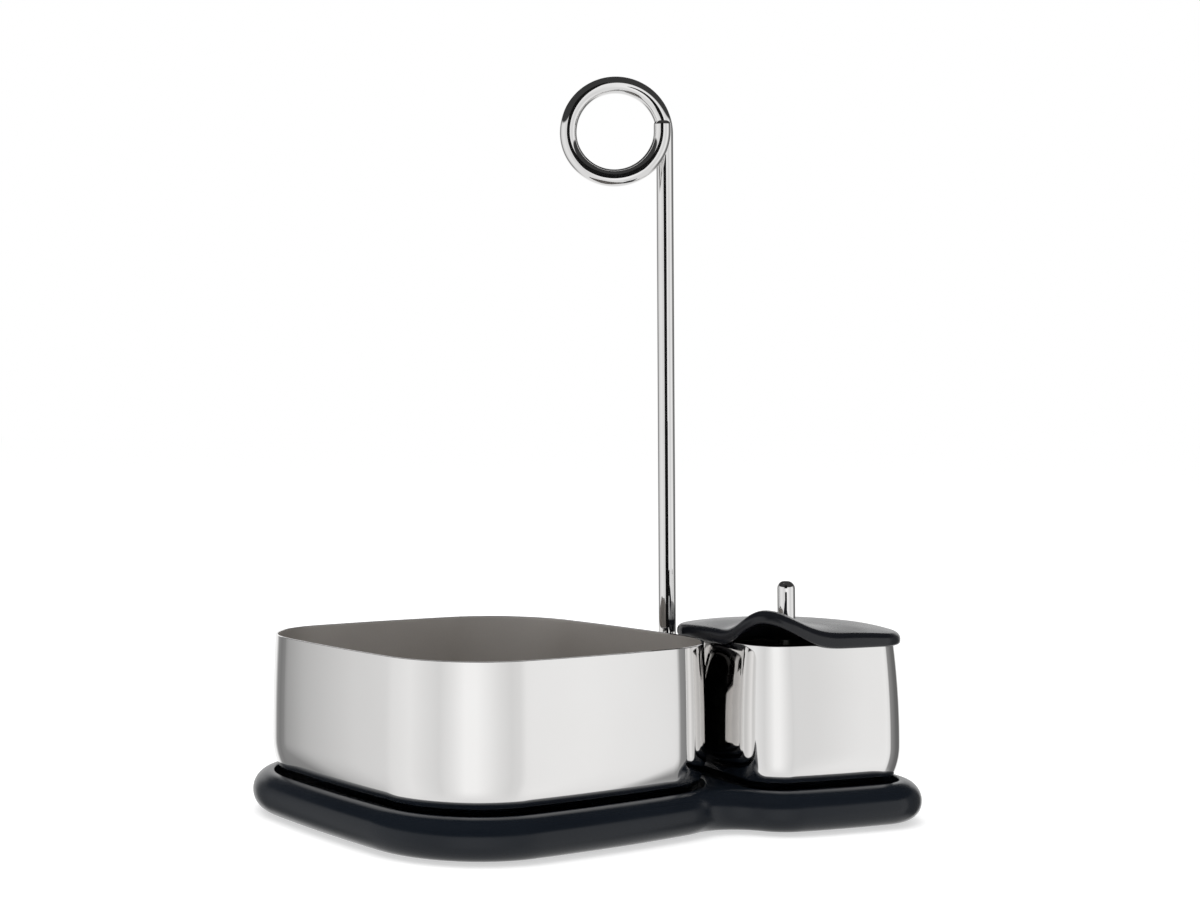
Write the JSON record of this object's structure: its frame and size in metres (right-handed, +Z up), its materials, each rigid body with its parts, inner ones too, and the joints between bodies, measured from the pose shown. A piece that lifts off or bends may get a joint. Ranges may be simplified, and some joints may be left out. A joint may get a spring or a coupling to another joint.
{
  "type": "condiment caddy",
  "caption": "Table caddy with a large open bowl and a small lidded bowl of polished steel on a moulded tray, with a tall looped wire handle.",
  "frame": {"origin": "on the surface the caddy stands on, under the middle of its bounding box", "axes": "+Z up, +X from the large bowl to the small one, -Y to the front where the spoon's way in is"},
  "size_m": [0.2176, 0.153, 0.2503],
  "materials": {
    "black_plastic": "satin black moulding",
    "lid_plastic": "satin black moulding",
    "bowl_steel": "polished stainless steel, satin inside",
    "polished_steel": "polished stainless steel",
    "zinc_steel": "plated steel",
    "foot_rubber": "matt rubber"
  },
  "bodies": {
    "tray": {"tray": "black_plastic", "handle_rod": "polished_steel", "handle_washer": "zinc_steel", "handle_nut": "zinc_steel", "foot_1": "foot_rubber", "foot_2": "foot_rubber", "foot_3": "foot_rubber", "foot_4": "foot_rubber", "foot_5": "foot_rubber", "foot_6": "foot_rubber"},
    "large_bowl": {"large_bowl": "bowl_steel"},
    "small_bowl": {"small_bowl": "bowl_steel"},
    "lid": {"lid": "lid_plastic", "lid_knob": "polished_steel", "knob_screw": "zinc_steel", "knob_washer": "zinc_steel"}
  },
  "joints": [
    {"name": "large_bowl_lift", "type": "slide", "parent": "tray", "child": "large_bowl", "axis": [0, 0, 1], "range_m": [0, 0.06]},
    {"name": "small_bowl_lift", "type": "slide", "parent": "tray", "child": "small_bowl", "axis": [0, 0, 1], "range_m": [0, 0.06]},
    {"name": "lid_lift", "type": "slide", "parent": "small_bowl", "child": "lid", "axis": [0, 0, 1], "range_m": [0, 0.04]}
  ]
}
